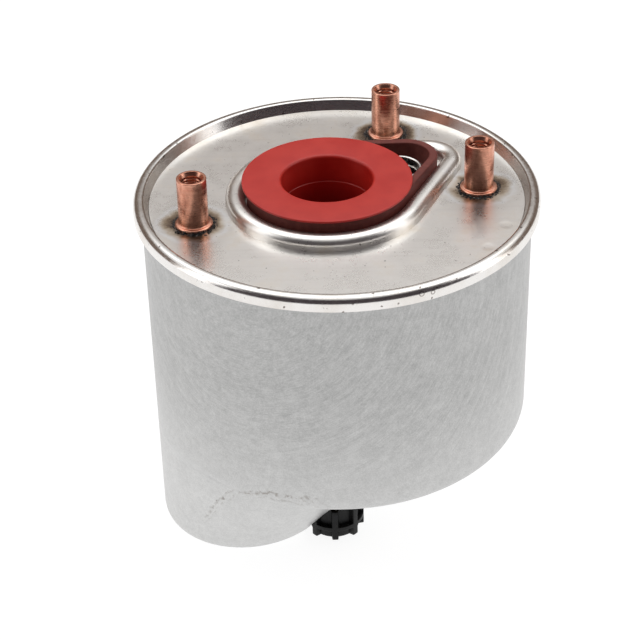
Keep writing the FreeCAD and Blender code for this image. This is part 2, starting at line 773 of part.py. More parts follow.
for make_piece in (make_canister, make_cover, make_seam_seal, make_gasket, make_plug, make_drain_boss,
                   make_drain_knob, make_drain_seal, make_pleats, make_end_caps, make_centre_tube,
                   make_sleeve, make_outlet, make_element_mounts, make_baffle, make_deflector):
    make_piece()
for stud in STUDS:
    make_stud("stud_" + stud, "stud_x_" + stud, "stud_y_" + stud)
    make_flash("weld_flash_" + stud, "stud_x_" + stud, "stud_y_" + stud)
doc.recompute()

# ---------------------------------------------------------------- check and write
os.makedirs("parts", exist_ok=True)
nodes = [obj for obj in doc.Objects
         if obj.TypeId in ("PartDesign::Body", "Part::Feature", "Part::Torus")]
for obj in doc.Objects:
    if "Invalid" in obj.State or "Error" in obj.State:
        raise ValueError("%s failed: %s" % (obj.Name, obj.State))
for node in nodes:
    if node.Shape.isNull() or not node.Shape.isValid():
        raise ValueError("%s has no valid shape" % node.Label)
for node in nodes:
    node.Shape.exportStep("parts/%s.step" % node.Label)
    print("%-20s %d solid(s) %10.1f mm3" % (node.Label, len(node.Shape.Solids), node.Shape.Volume))
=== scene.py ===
# %% [markdown]
# A sealed canister filter: a drawn aluminium can, a steel cover rolled onto it, three copper-plated weld studs, a
# rubber gasket with a red transit plug on it, and a black drain screw underneath. The CAD frame already has every
# part at its real size and place. Here the parts that show get their finished surfaces and finishes.

# %% Load the frame and note the CAD model's box
import bmesh
import bpy
import math
import numpy as np
from mathutils import Matrix, Vector


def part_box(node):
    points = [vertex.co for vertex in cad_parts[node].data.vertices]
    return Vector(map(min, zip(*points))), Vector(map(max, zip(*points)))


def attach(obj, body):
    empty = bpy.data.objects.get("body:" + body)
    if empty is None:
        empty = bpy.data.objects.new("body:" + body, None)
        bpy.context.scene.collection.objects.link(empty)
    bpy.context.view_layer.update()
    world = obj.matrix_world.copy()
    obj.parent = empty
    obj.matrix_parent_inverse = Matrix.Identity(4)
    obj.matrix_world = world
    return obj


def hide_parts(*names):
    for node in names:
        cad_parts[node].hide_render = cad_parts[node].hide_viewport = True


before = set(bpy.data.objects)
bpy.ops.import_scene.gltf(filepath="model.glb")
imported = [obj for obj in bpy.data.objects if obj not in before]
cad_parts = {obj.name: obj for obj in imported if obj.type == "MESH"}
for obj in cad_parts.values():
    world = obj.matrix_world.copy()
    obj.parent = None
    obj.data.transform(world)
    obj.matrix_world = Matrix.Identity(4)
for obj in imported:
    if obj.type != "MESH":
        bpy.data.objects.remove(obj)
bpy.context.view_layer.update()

MM = 0.001

# %% [markdown]
# Sizes come from the CAD nodes' own boxes, so a changed part carries its new skin with it. A node's box gives its
# outside sizes; the few inner sizes that no box shows are named beside it.

# %% Read the sizes of the metal parts
def centre(node):
    """Middle of a node's box."""
    low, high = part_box(node)
    return (np.array(low) + np.array(high)) / 2


def half_width(node):
    """Half of a node's box along X."""
    low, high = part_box(node)
    return (high[0] - low[0]) / 2


RIM_R = half_width("cover")
RIM_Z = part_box("cover")[1][2]
SHEET = 0.7 * MM                                   # cover sheet
PLATE_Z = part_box("port_gasket")[0][2]              # top of the cover plate
SKIRT_Z = RIM_Z - 3.6 * MM
CAN_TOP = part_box("canister")[1][2]
CAN_R = half_width("canister") - 1.1 * MM          # the can's box includes its flange
CAN_WALL = 0.6 * MM
SUMP_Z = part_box("canister")[0][2]
FLOOR_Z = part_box("drain_knob")[0][2] + 28.8 * MM   # underside of the raised floor
PORT = centre("transit_plug")[:2]
PORT_TURN = math.radians(31.8)                     # from the main port towards the side port
print("rim radius %.1f mm, can radius %.1f mm, plate at %.1f mm" % (RIM_R / MM, CAN_R / MM, PLATE_Z / MM))

# %% [markdown]
# The camera stands 0.46 m off, a little over thirty degrees above the cover, with a long lens and a slight tilt of
# the horizon. The light is a studio light: a big soft panel overhead, one at each side, and a pale room all round.

# %% Camera
CAMERA_AT = Vector((-4.73, -400.1, 219.8)) * MM
CAMERA_PITCH = math.radians(33.81)
CAMERA_ROLL = math.radians(-1.474)
camera_data = bpy.data.cameras.new("camera")
camera_data.sensor_width = 36.0
camera_data.lens = 107.72
camera_data.clip_start = 0.01
camera = bpy.data.objects.new("camera", camera_data)
camera.matrix_world = (Matrix.Translation(CAMERA_AT) @ Matrix.Rotation(math.pi / 2 - CAMERA_PITCH, 4, "X")
                       @ Matrix.Rotation(CAMERA_ROLL, 4, "Z"))
bpy.context.collection.objects.link(camera)
bpy.context.scene.camera = camera


# %% Lights, world and floor
def soft_light(name, place, aim, width, height, power):
    """A rectangular studio panel turned from its place to the point it lights."""
    data = bpy.data.lights.new(name, "AREA")
    data.shape, data.size, data.size_y = "RECTANGLE", width, height
    data.energy = power
    lamp = bpy.data.objects.new(name, data)
    direction = Vector(aim) - Vector(place)
    lamp.matrix_world = Matrix.Translation(place) @ direction.to_track_quat("-Z", "Y").to_matrix().to_4x4()
    bpy.context.collection.objects.link(lamp)
    return lamp


soft_light("overhead", (0.0, 0.25, 0.75), (0, 0, 0), 1.2, 0.7, 2.5)
soft_light("left_panel", (-0.75, -0.15, 0.25), (0, 0, -0.03), 0.35, 0.8, 1.3)
soft_light("right_panel", (0.75, -0.05, 0.25), (0, 0, -0.03), 0.35, 0.8, 1.3)
bpy.context.scene.view_settings.view_transform = "Standard"

# %% [markdown]
# Metal shows its surroundings, so the studio's walls matter as much as its lamps. Above, it is white. Low on the
# far side it is a warm grey, and on the side where the camera stands it is dark: that puts the dark lines on the
# rolled rim and the brown shade on the far part of the cover.

# %% World
world = bpy.data.worlds.new("studio")
bpy.context.scene.world = world
world.use_nodes = True
sky = world.node_tree
direction = sky.nodes.new("ShaderNodeSeparateXYZ")
sky.links.new(sky.nodes.new("ShaderNodeTexCoord").outputs["Generated"], direction.inputs[0])


def sky_step(axis, low, high, to_low, to_high):
    """A smooth step of one axis of the direction looked in."""
    step = sky.nodes.new("ShaderNodeMapRange")
    step.interpolation_type = "SMOOTHSTEP"
    sky.links.new(direction.outputs[axis], step.inputs[0])
    for socket, value in zip(step.inputs[1:5], (low, high, to_low, to_high)):
        socket.default_value = value
    return step.outputs[0]


def sky_blend(factor, first, second):
    mix = sky.nodes.new("ShaderNodeMix")
    mix.data_type = "RGBA"
    for socket, value in zip((mix.inputs[0], mix.inputs[6], mix.inputs[7]), (factor, first, second)):
        if isinstance(value, bpy.types.NodeSocket):
            sky.links.new(value, socket)
        else:
            socket.default_value = value
    return mix.outputs[2]


FAR_WALL, CEILING, NEAR_WALL = (0.17, 0.125, 0.10, 1), (1.0, 1.0, 1.0, 1), (0.055, 0.045, 0.05, 1)
far_side = sky_blend(sky_step("Z", 0.47, 0.60, 0, 1), FAR_WALL, CEILING)
near_side = sky_blend(sky_step("Z", 0.80, 1.0, 0, 1), NEAR_WALL, CEILING)
walls = sky_blend(sky_step("Y", -0.25, 0.0, 0, 1), near_side, far_side)
sky.links.new(walls, sky.nodes["Background"].inputs["Color"])
sky.nodes["Background"].inputs["Strength"].default_value = 1.0

# %% Floor
FLOOR_HALF, FLOOR_DROP = 1.5, 0.1 * MM
floor_mesh = bpy.data.meshes.new("floor")
corner, level = FLOOR_HALF, SUMP_Z - FLOOR_DROP
floor_mesh.from_pydata([(-corner, -corner, level), (corner, -corner, level), (corner, corner, level),
                        (-corner, corner, level)], [], [(0, 1, 2, 3)])
floor = bpy.data.objects.new("floor", floor_mesh)
bpy.context.collection.objects.link(floor)
floor_paint = bpy.data.materials.new("floor_paint")
floor_paint.use_nodes = True
floor_shader = floor_paint.node_tree.nodes["Principled BSDF"]
floor_shader.inputs["Base Color"].default_value = (0.2, 0.2, 0.2, 1.0)
floor_shader.inputs["Roughness"].default_value = 1.0
floor_shader.inputs["Specular IOR Level"].default_value = 0.0
floor_shader.inputs["Emission Color"].default_value = (1.0, 1.0, 1.0, 1.0)
floor_shader.inputs["Emission Strength"].default_value = 0.92
floor.data.materials.append(floor_paint)


# %% [markdown]
# Every new piece is a grid of points worked out as whole arrays. One helper turns such a grid into a mesh, closed
# round its columns, and round its rows too where the surface runs back into itself.

# %% Grid to mesh
def grid_faces(rows, columns, wrap_rows=False):
    """Quads between neighbouring points of a rows x columns grid closed along its columns, four indices each."""
    row = np.arange(rows if wrap_rows else rows - 1)[:, None]
    column = np.arange(columns)[None, :]
    below, right = (row + 1) % rows, (column + 1) % columns
    quads = [row * columns + column, row * columns + right, below * columns + right, below * columns + column]
    return np.stack([quad.ravel() for quad in np.broadcast_arrays(*quads)], 1)


def to_mesh(name, points, quads):
    """A mesh object from an (n, 3) array of points and an (m, 4) array of quads, filled with foreach_set."""
    mesh = bpy.data.meshes.new(name)
    mesh.vertices.add(len(points))
    mesh.vertices.foreach_set("co", np.asarray(points, dtype=np.float32).ravel())
    mesh.loops.add(quads.size)
    mesh.loops.foreach_set("vertex_index", quads.astype(np.int32).ravel())
    mesh.polygons.add(len(quads))
    mesh.polygons.foreach_set("loop_start", np.arange(0, quads.size, 4, dtype=np.int32))
    mesh.update(calc_edges=True)
    mesh.validate()
    mesh.polygons.foreach_set("use_smooth", np.ones(len(mesh.polygons), bool))
    piece = bpy.data.objects.new(name, mesh)
    bpy.context.collection.objects.link(piece)
    return piece


def surface(name, points, wrap_rows=False, flip=False):
    """A piece from a (rows, columns, 3) array of points."""
    rows, columns = points.shape[:2]
    quads = grid_faces(rows, columns, wrap_rows)
    return to_mesh(name, points.reshape(-1, 3), quads[:, ::-1] if flip else quads)


def join_parts(name, parts):
    """One piece from several (points, quads) pairs."""
    points, quads, count = [], [], 0
    for part_points, part_quads in parts:
        points.append(part_points)
        quads.append(part_quads + count)
        count += len(part_points)
    return to_mesh(name, np.concatenate(points), np.concatenate(quads))


# %% [markdown]
# A pressed or turned part is a profile with rounded corners. The rounding follows each corner's own radius: an arc
# tangent to both sides, worked out from the half angle between them.

# %% Rounded profiles
def rounded(corners, radii, steps=5, closed=False):
    """Polyline through corners with each one replaced by a tangent arc.

    For a corner with unit directions a and b to its neighbours and half angle h between them, the arc of radius r
    starts r / tan(h) along a, ends the same way along b, and its centre is r / sin(h) along the bisector.
    """
    corners = np.asarray(corners, float)
    radii = np.broadcast_to(np.asarray(radii, float), len(corners))
    last = len(corners) - 1
    path = []
    for index, (point, radius) in enumerate(zip(corners, radii)):
        if radius <= 0 or (not closed and index in (0, last)):
            path.append(point[None])
            continue
        before, after = corners[index - 1] - point, corners[(index + 1) % len(corners)] - point
        before, after = before / np.linalg.norm(before), after / np.linalg.norm(after)
        half = math.acos(np.clip(before @ after, -1, 1)) / 2
        middle = point + (before + after) / np.linalg.norm(before + after) * radius / math.sin(half)
        start, end = point + before * radius / math.tan(half), point + after * radius / math.tan(half)
        turn = np.linspace(0, 1, steps + 1)[:, None]
        arc = (start - middle) * (1 - turn) + (end - middle) * turn
        path.append(middle + arc / np.linalg.norm(arc, axis=1, keepdims=True) * radius)
    return np.concatenate(path)


def refine(profile, step):
    """The same polyline with no piece of it longer than step."""
    lengths = np.linalg.norm(np.diff(profile, axis=0), axis=1)
    counts = np.maximum(1, np.ceil(lengths / step).astype(int))
    pieces = [profile[i] + (profile[i + 1] - profile[i]) * np.arange(n)[:, None] / n
              for i, n in enumerate(counts)]
    return np.concatenate(pieces + [profile[-1:]])


def turned(profile, centre_xy=(0.0, 0.0), count=288):
    """A (radius, height) profile carried round a vertical axis: x = r cos a, y = r sin a."""
    angle = np.linspace(0, 2 * math.pi, count, endpoint=False)
    radius, height = profile[:, 0][:, None], profile[:, 1][:, None]
    return np.stack([centre_xy[0] + radius * np.cos(angle), centre_xy[1] + radius * np.sin(angle),
                     height + 0 * angle], -1)


# %% [markdown]
# The bead and the gasket follow the same kind of outline: two circles, a large one round the main port and a small
# one round the side port, joined by their outer tangents. The outline is made once, as points with outward normals,
# and any profile can then be carried along it.

# %% Teardrop path
def teardrop(radius, tip_radius, distance, count):
    """Points and outward normals of the outline round two circles, evenly spaced.

    The tangent lines touch both circles where the normal leans acos((R - r) / d) from the line of centres.
    """
    lean = math.acos((radius - tip_radius) / distance)
    line = math.sqrt(distance ** 2 - (radius - tip_radius) ** 2)
    spans = np.array([2 * (math.pi - lean) * radius, line, 2 * lean * tip_radius, line])
    at = np.linspace(0, spans.sum(), count, endpoint=False)
    ends = np.cumsum(spans)
    piece = np.searchsorted(ends, at, side="right")
    along = (at - np.concatenate([[0], ends[:-1]])[piece]) / spans[piece]
    angle = np.select([piece == 0, piece == 1, piece == 2, piece == 3],
                      [lean + along * 2 * (math.pi - lean), 0 * at - lean, -lean + along * 2 * lean, 0 * at + lean])
    normal = np.stack([np.cos(angle), np.sin(angle)], -1)
    big, small = radius * normal, np.array([distance, 0.0]) + tip_radius * normal
    share = np.select([piece == 0, piece == 1, piece == 2, piece == 3],
                      [0 * at, along, 0 * at + 1, 1 - along])[:, None]
    return big * (1 - share) + small * share, normal


def port_frame(points):
    """Points drawn round the main port, turned and moved to their place on the cover."""
    turn = np.array([[math.cos(PORT_TURN), math.sin(PORT_TURN)], [-math.sin(PORT_TURN), math.cos(PORT_TURN)]])
    return points @ turn + PORT


def swept(profile, path, normal):
    """An (offset, height) profile carried along a plan path: offset runs along the path's normal."""
    offset, height = profile[:, 0][:, None, None], profile[:, 1][:, None, None]
    plan = path[None] + offset * normal[None]
    flat = port_frame(plan.reshape(-1, 2)).reshape(plan.shape)
    return np.concatenate([flat, np.broadcast_to(height, flat.shape[:2] + (1,))], -1)


# %% [markdown]
# The can is one deep-drawn cup whose lower end steps in: a raised floor, and a sump that leans out of it and stays
# flush with the can's left side. No simple turning gives that shape. It is easy to say, though, how far any point
# lies outside it: outside a cylinder with a rounded foot, and outside a leaning cone with a rounded foot, the two
# blended. Rays from a point inside then find the skin by halving, all rays at once.

# %% Distance fields for drawn metal
def round_corner(a, b, radius):
    """Inside both a and b, with their edge rounded: length of max(a+r, b+r, 0) plus min(max(a+r, b+r), 0), less r."""
    a, b = a + radius, b + radius
    return np.hypot(np.maximum(a, 0), np.maximum(b, 0)) + np.minimum(np.maximum(a, b), 0) - radius


def round_blend(a, b, radius):
    """Inside a or b, with a fillet where they meet: max(r, min(a, b)) less the length of max(r-a, r-b, 0)."""
    return np.maximum(radius, np.minimum(a, b)) - np.hypot(np.maximum(radius - a, 0), np.maximum(radius - b, 0))


MOUTH_R = 34.8 * MM
FOOT_R = 20.5 * MM
FLOOR_FILLET = 5.0 * MM
SUMP_FILLET = 3.8 * MM
BLEND = 2.5 * MM
LEAN = math.radians(186)
LEAN_XY = np.array([math.cos(LEAN), math.sin(LEAN)])


def can_field(points):
    """How far points lie outside the drawn can, in metres; negative inside."""
    x, y, z = points[..., 0], points[..., 1], points[..., 2]
    wall = np.hypot(x, y) - CAN_R
    upper = round_corner(wall, FLOOR_Z - z, FLOOR_FILLET)
    taper = (MOUTH_R - FOOT_R) / (FLOOR_Z - SUMP_Z)
    radius = FOOT_R + taper * (z - SUMP_Z)
    shift = CAN_R - radius
    off_x, off_y = x - shift * LEAN_XY[0], y - shift * LEAN_XY[1]
    reach = np.hypot(off_x, off_y) + 1e-9
    toward = (off_x * LEAN_XY[0] + off_y * LEAN_XY[1]) / reach
    cone = (reach - radius) / np.sqrt(1 + (taper * (1 - toward)) ** 2)
    sump = round_corner(cone, SUMP_Z - z, SUMP_FILLET)
    return np.maximum(round_blend(upper, sump, BLEND), wall)


# %% Cast the lower end of the can
EYE = np.array([-12.0, 0.0, -50.0]) * MM
CAN_COLUMNS = 288
DEEP_ROWS = 128
azimuth = np.linspace(0, 2 * math.pi, CAN_COLUMNS, endpoint=False)
dip = np.linspace(0, math.pi / 2, DEEP_ROWS + 1)[:-1][:, None]
rays = np.stack([np.cos(dip) * np.cos(azimuth), np.cos(dip) * np.sin(azimuth), -np.sin(dip) + 0 * azimuth], -1)
near, far = np.zeros(rays.shape[:2]), np.full(rays.shape[:2], 0.13)
for _ in range(26):
    middle = (near + far) / 2
    outside = can_field(EYE + rays * middle[..., None]) > 0
    near, far = np.where(outside, near, middle), np.where(outside, middle, far)
deep = EYE + rays * near[..., None]

side = deep[0]
heights = np.linspace(CAN_TOP, EYE[2], 14)[:-1]
upper_rows = np.stack([np.column_stack([side[:, :2], np.full(CAN_COLUMNS, z)]) for z in heights])
skin = np.concatenate([upper_rows, deep])
print("can skin:", skin.shape, "lowest point %.2f mm" % (skin[..., 2].min() / MM))


# %% Close and open meshes by hand
def capped(name, grid):
    """A closed piece from rows of rings: the last ring meets in a point, and the first is closed flat."""
    rows, columns = grid.shape[:2]
    quads = [tuple(quad) for quad in grid_faces(rows, columns)]
    points = [tuple(point) for point in grid.reshape(-1, 3)]
    points.append(tuple(grid[-1].mean(0)))
    last, tip = (rows - 1) * columns, rows * columns
    fan = [(last + i, last + (i + 1) % columns, tip) for i in range(columns)]
    lid = [tuple(range(columns - 1, -1, -1))]
    mesh = bpy.data.meshes.new(name)
    mesh.from_pydata(points, [], [face[::-1] for face in quads + fan + lid])
    mesh.update()
    piece = bpy.data.objects.new(name, mesh)
    bpy.context.collection.objects.link(piece)
    return piece


def cut(piece, cutter):
    """Takes one closed piece out of another, bakes the result into it, and removes the cutter."""
    tool = piece.modifiers.new("cut", "BOOLEAN")
    tool.operation, tool.solver, tool.object = "DIFFERENCE", "EXACT", cutter
    baked = bpy.data.meshes.new_from_object(piece.evaluated_get(bpy.context.evaluated_depsgraph_get()))
    piece.modifiers.clear()
    old, piece.data = piece.data, baked
    bpy.data.meshes.remove(old)
    bpy.data.objects.remove(cutter)
    return piece


def soften(piece, angle):
    """Smooth shading that keeps edges sharper than angle degrees."""
    piece.data.polygons.foreach_set("use_smooth", np.ones(len(piece.data.polygons), bool))
    piece.data.set_sharp_from_angle(angle=math.radians(angle))


def wall(piece, thickness):
    """Gives a sheet its thickness, inwards."""
    sheet = piece.modifiers.new("sheet", "SOLIDIFY")
    sheet.thickness, sheet.offset = thickness, -1.0


# %% The can, with the pocket for the drain screw
DRAIN = centre("drain_knob")[:2]
POCKET_R = 8.6 * MM
POCKET_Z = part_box("drain_knob")[0][2] + 13.5 * MM
can = capped("canister_shell", skin)
dome = turned(rounded([[POCKET_R, SUMP_Z - 3 * MM], [POCKET_R, POCKET_Z], [0.4 * MM, POCKET_Z]],
                      [0, 1.6 * MM, 0]), DRAIN, 96)
pocket = capped("pocket", dome)
pocket.data.flip_normals()
cut(can, pocket)

shell = bmesh.new()
shell.from_mesh(can.data)
lid = [face for face in shell.faces if min(v.co.z for v in face.verts) > CAN_TOP - 1.2 * CAN_WALL
       and face.normal.z > 0.9]
bmesh.ops.delete(shell, geom=lid, context="FACES")
shell.to_mesh(can.data)
shell.free()
soften(can, 35)
wall(can, CAN_WALL)
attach(can, "housing")
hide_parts("canister")
print("can faces:", len(can.data.polygons))

# %% [markdown]
# The cover is a pressed steel sheet. A bead is pressed up round the two ports, in the shape of a teardrop, so the
# mesh runs in rings along that teardrop: in from the bead to the main port, over the bead, and out along the
# bead's normals to the edge of the plate. Solidify gives it the thickness of the sheet.

# %% Cover plate with its bead
BEAD = dict(radius=24.0 * MM, tip_radius=7.95 * MM, distance=29.3 * MM)
BEAD_H = 3.1 * MM
PLATE_R = 45.2 * MM
PORT_R = 12.3 * MM
COLUMNS = 320
bead_path, bead_normal = teardrop(**BEAD, count=COLUMNS)
bead_profile = rounded(np.array([[1.6, 0], [0, 0], [-0.3, BEAD_H / MM], [-3.4, BEAD_H / MM], [-3.7, 0], [-4.6, 0]])
                       * MM, np.array([0, 0.55, 1.5, 1.5, 0.35, 0]) * MM, steps=8)
bead_grid = swept(bead_profile + np.array([0, PLATE_Z]), bead_path, bead_normal)

outer_edge = bead_grid[0, :, :2]
unit = bead_normal @ np.array([[math.cos(PORT_TURN), math.sin(PORT_TURN)],
                               [-math.sin(PORT_TURN), math.cos(PORT_TURN)]])
along = (outer_edge * unit).sum(-1)
reach = -along + np.sqrt(along ** 2 + PLATE_R ** 2 - (outer_edge ** 2).sum(-1))
steps = np.linspace(1, 0, 9)[:-1][:, None]
plate_out = np.stack([outer_edge + unit * (reach * step)[:, None] for step in steps[:, 0]])
inner_edge = bead_grid[-1, :, :2]
about = inner_edge - PORT
port_ring = PORT + about / np.linalg.norm(about, axis=1, keepdims=True) * PORT_R
plate_in = np.stack([inner_edge * (1 - step) + port_ring * step for step in np.linspace(0, 1, 9)[1:]])
level = np.full(COLUMNS, PLATE_Z)
plate_grid = np.concatenate([np.dstack([plate_out, np.broadcast_to(level, plate_out.shape[:2])]), bead_grid,
                             np.dstack([plate_in, np.broadcast_to(level, plate_in.shape[:2])])])
plate = surface("cover_plate", plate_grid, flip=True)
print("cover plate grid:", plate_grid.shape)

# %% The side port is punched through the plate and drawn up into a rolled lip
SIDE_PORT = PORT + 20.7 * MM * np.array([math.cos(PORT_TURN), math.sin(PORT_TURN)])
SIDE_R = 4.85 * MM
wall(plate, SHEET)
punch = capped("punch", turned(np.array([[SIDE_R, PLATE_Z - 3 * MM], [SIDE_R, PLATE_Z + 2 * MM],
                                         [0.2 * MM, PLATE_Z + 2 * MM]]), SIDE_PORT, 96))
punch.data.flip_normals()
cut(plate, punch)
soften(plate, 45)

LIP_TOP = PLATE_Z + 2.9 * MM
lip_profile = rounded(np.array([[6.5, 0.02], [5.7, 0.02], [5.9, 2.9], [5.0, 2.9], [4.85, -1.4], [5.3, -1.4]]) * MM
                      + np.array([0, PLATE_Z]), np.array([0, 0.6, 0.42, 0.42, 0, 0]) * MM, steps=6)
lip = surface("side_port_lip", turned(lip_profile[::-1], SIDE_PORT, 96), flip=True)
wall(lip, 0.12 * MM)
collar_profile = np.array([[PORT_R, 0.0], [PORT_R, -7.3 * MM], [PORT_R + 0.6 * MM, -7.3 * MM]]) + [0, PLATE_Z]
collar = surface("main_port_collar", turned(collar_profile, PORT, 128))
wall(collar, 0.5 * MM)

# %% [markdown]
# The cover's edge is rolled over the can's flange: a wall rises from the plate, turns over in a narrow rounded band
# and ends in a short skirt. It is one closed profile turned round the can's axis.

# %% Rolled rim
rim_outline = np.array([[44.6, -3.3], [45.0, -3.3], [46.4, 0.0], [49.0, 0.0], [49.0, -3.6], [48.35, -3.6],
                        [48.35, -0.75], [46.9, -0.75], [45.4, -4.0], [44.6, -4.0]])
rim_radii = np.array([0, 0.75, 0.7, 1.75, 0.35, 0.2, 1.0, 0.3, 0.7, 0])
rim_profile = rounded(rim_outline * MM + np.array([0, RIM_Z]), rim_radii * MM, steps=8)
rim = surface("rolled_rim", turned(rim_profile), wrap_rows=True)
print("rim profile points:", len(rim_profile))

for piece in (plate, lip, collar, rim):
    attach(piece, "housing")
    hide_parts("cover")

# %% [markdown]
# Each stud is a turned copper-plated barrel on a wider welding foot, with a countersunk thread in its end. The
# thread is real geometry: the rows inside the bore follow a helix, so the radius depends on height and angle at once.

# %% Weld studs
STUD_R, STUD_FOOT_R, STUD_FOOT_H = 3.55 * MM, 4.5 * MM, 1.4 * MM
THREAD_R, THREAD_MOUTH_R, THREAD_DEPTH = 2.1 * MM, 2.88 * MM, 10.5 * MM
PITCH, TOOTH, SINK = 0.8 * MM, 0.33 * MM, 1.3 * MM


def stud(name, place):
    """Closed turned surface; in the bore r = r0 + depth x |2 frac(z / pitch - angle / 2 pi) - 1|, a helix."""
    step_z = PLATE_Z + STUD_FOOT_H
    outside = rounded(np.array([[0.0, PLATE_Z], [STUD_FOOT_R, PLATE_Z], [STUD_FOOT_R, step_z],
                                [STUD_R, step_z + 0.15 * MM], [STUD_R, 0.0], [THREAD_MOUTH_R, 0.0],
                                [THREAD_R + 0.1 * MM, -SINK]]),
                      np.array([0, 0.25, 0.35, 0.3, 0.2, 0.08, 0]) * MM, steps=5)
    bore_z = np.arange(-SINK - 0.05 * MM, -THREAD_DEPTH, -PITCH / 8)
    inside = np.column_stack([np.full(len(bore_z), THREAD_R), bore_z])
    end = np.array([[THREAD_R, -THREAD_DEPTH], [0.0, -THREAD_DEPTH - 0.9 * MM]])
    profile = np.concatenate([refine(outside, 0.7 * MM), inside, end])
    count = 72
    grid = turned(profile, place, count)
    angle = np.arange(count) / count
    in_bore = (profile[:, 1] < -SINK) & (np.abs(profile[:, 0] - THREAD_R) < 1e-7)
    in_bore &= np.arange(len(profile)) > len(profile) - len(inside) - 3
    tooth = np.abs(2 * ((profile[:, 1][:, None] / PITCH - angle) % 1) - 1)
    radius = profile[:, 0][:, None] + in_bore[:, None] * TOOTH * tooth
    turn = 2 * math.pi * angle
    grid[..., 0], grid[..., 1] = place[0] + radius * np.cos(turn), place[1] + radius * np.sin(turn)
    piece = surface(name, grid)
    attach(piece, "housing")
    return piece


def wobble(angle, rng, low, high, power=1.0):
    """A smooth closed random wave: sines of every whole frequency from low to high, falling as 1 / f^power."""
    frequency = np.arange(low, high + 1)
    phase, size = rng.uniform(0, 2 * math.pi, len(frequency)), rng.normal(0, 1, len(frequency))
    return (size / frequency ** power * np.sin(frequency * angle[..., None] + phase)).sum(-1)


def weld_flash(name, place, seed):
    """Burnt ring squeezed out under a stud: a low crumbly mound, r = r0 + waves(angle), h = h0 (1 + waves)."""
    rng = np.random.default_rng(seed)
    count, rows = 168, 12
    angle = np.linspace(0, 2 * math.pi, count, endpoint=False)
    edge = 6.05 * MM + 0.30 * MM * wobble(angle, rng, 2, 40, 0.75)
    edge = np.clip(edge, 5.2 * MM, 6.9 * MM)
    across = np.linspace(0, 1, rows)[:, None]
    radius = 3.9 * MM * (1 - across) + edge * across
    grain = np.stack([wobble(angle, rng, 4, 60, 0.35) for _ in range(rows)])
    height = 0.85 * MM * np.sqrt(np.clip(1 - across ** 2.2, 0, 1)) * (1 + 0.16 * grain) + 0.02 * MM
    radius = radius + 0.06 * MM * grain * across * (1 - across) * 4
    grid = np.stack([place[0] + radius * np.cos(angle), place[1] + radius * np.sin(angle),
                     PLATE_Z + np.clip(height, 0.01 * MM, 1.3 * MM)], -1)
    foot = grid[[-1, 0]].copy()
    foot[..., 2] = PLATE_Z + 0.005 * MM
    piece = surface(name, np.concatenate([grid, foot]), wrap_rows=True, flip=True)
    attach(piece, "housing")
    return piece


studs, flashes = [], []
for seed, side_name in enumerate(("left", "rear", "right")):
    place = centre("stud_" + side_name)[:2]
    studs.append(stud("turned_stud_" + side_name, place))
    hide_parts("stud_" + side_name)
    flashes.append(weld_flash("burnt_ring_" + side_name, place, seed + 11))
    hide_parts("weld_flash_" + side_name)
print("studs:", [len(piece.data.polygons) for piece in studs])

# %% [markdown]
# The gasket is one moulding of brown rubber: a loop that follows the bead's inside, a ring round the main port and
# three short ribs between them, hidden by the plug. Its corners are only slightly rounded, as a mould leaves them.

# %% Gasket
GASKET_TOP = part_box("port_gasket")[1][2]
GASKET_H = GASKET_TOP - PLATE_Z
WALL = 2.0 * MM
loop_path, loop_normal = teardrop(19.5 * MM, 7.75 * MM, 22.9 * MM, 280)
loop_outline = np.array([[-WALL, 0], [0, 0], [0, GASKET_H], [-WALL, GASKET_H]])
loop_profile = rounded(loop_outline, np.array([0.15, 0.15, 0.32, 0.32]) * MM, steps=5, closed=True)
loop = swept(loop_profile + np.array([0, PLATE_Z]), loop_path, loop_normal)
RING_IN = 13.1 * MM
ring_outline = np.array([[RING_IN, 0], [RING_IN + 1.5 * MM, 0], [RING_IN + 1.5 * MM, GASKET_H],
                         [RING_IN, GASKET_H]]) + np.array([0, PLATE_Z])
ring = turned(rounded(ring_outline, 0.25 * MM, steps=4, closed=True), PORT, 160)
parts = [(grid.reshape(-1, 3), grid_faces(*grid.shape[:2], wrap_rows=True)) for grid in (loop, ring)]
BOX_FACES = np.array([[0, 3, 2, 1], [4, 5, 6, 7], [0, 1, 5, 4], [1, 2, 6, 5], [2, 3, 7, 6], [3, 0, 4, 7]])
rib_in, rib_out, rib_half, rib_top = RING_IN + 1.0 * MM, 18.5 * MM, 0.75 * MM, GASKET_H - 1.0 * MM
for quarter in (1, 2, 3):
    turn = quarter * math.pi / 2
    ahead, across = np.array([math.cos(turn), math.sin(turn)]), np.array([-math.sin(turn), math.cos(turn)])
    plan = np.stack([rib_in * ahead - rib_half * across, rib_out * ahead - rib_half * across,
                     rib_out * ahead + rib_half * across, rib_in * ahead + rib_half * across])
    plan = port_frame(plan)
    block = [np.column_stack([plan, np.full(4, z)]) for z in (PLATE_Z + 0.02 * MM, PLATE_Z + rib_top)]
    parts.append((np.concatenate(block), BOX_FACES))
gasket = join_parts("moulded_gasket", parts)
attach(gasket, "housing")
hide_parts("port_gasket")
print("gasket faces:", len(gasket.data.polygons))

# %% [markdown]
# The transit plug is a thin moulded cup with a flange and a faint step part of the way down its bore. One turned
# profile makes it.

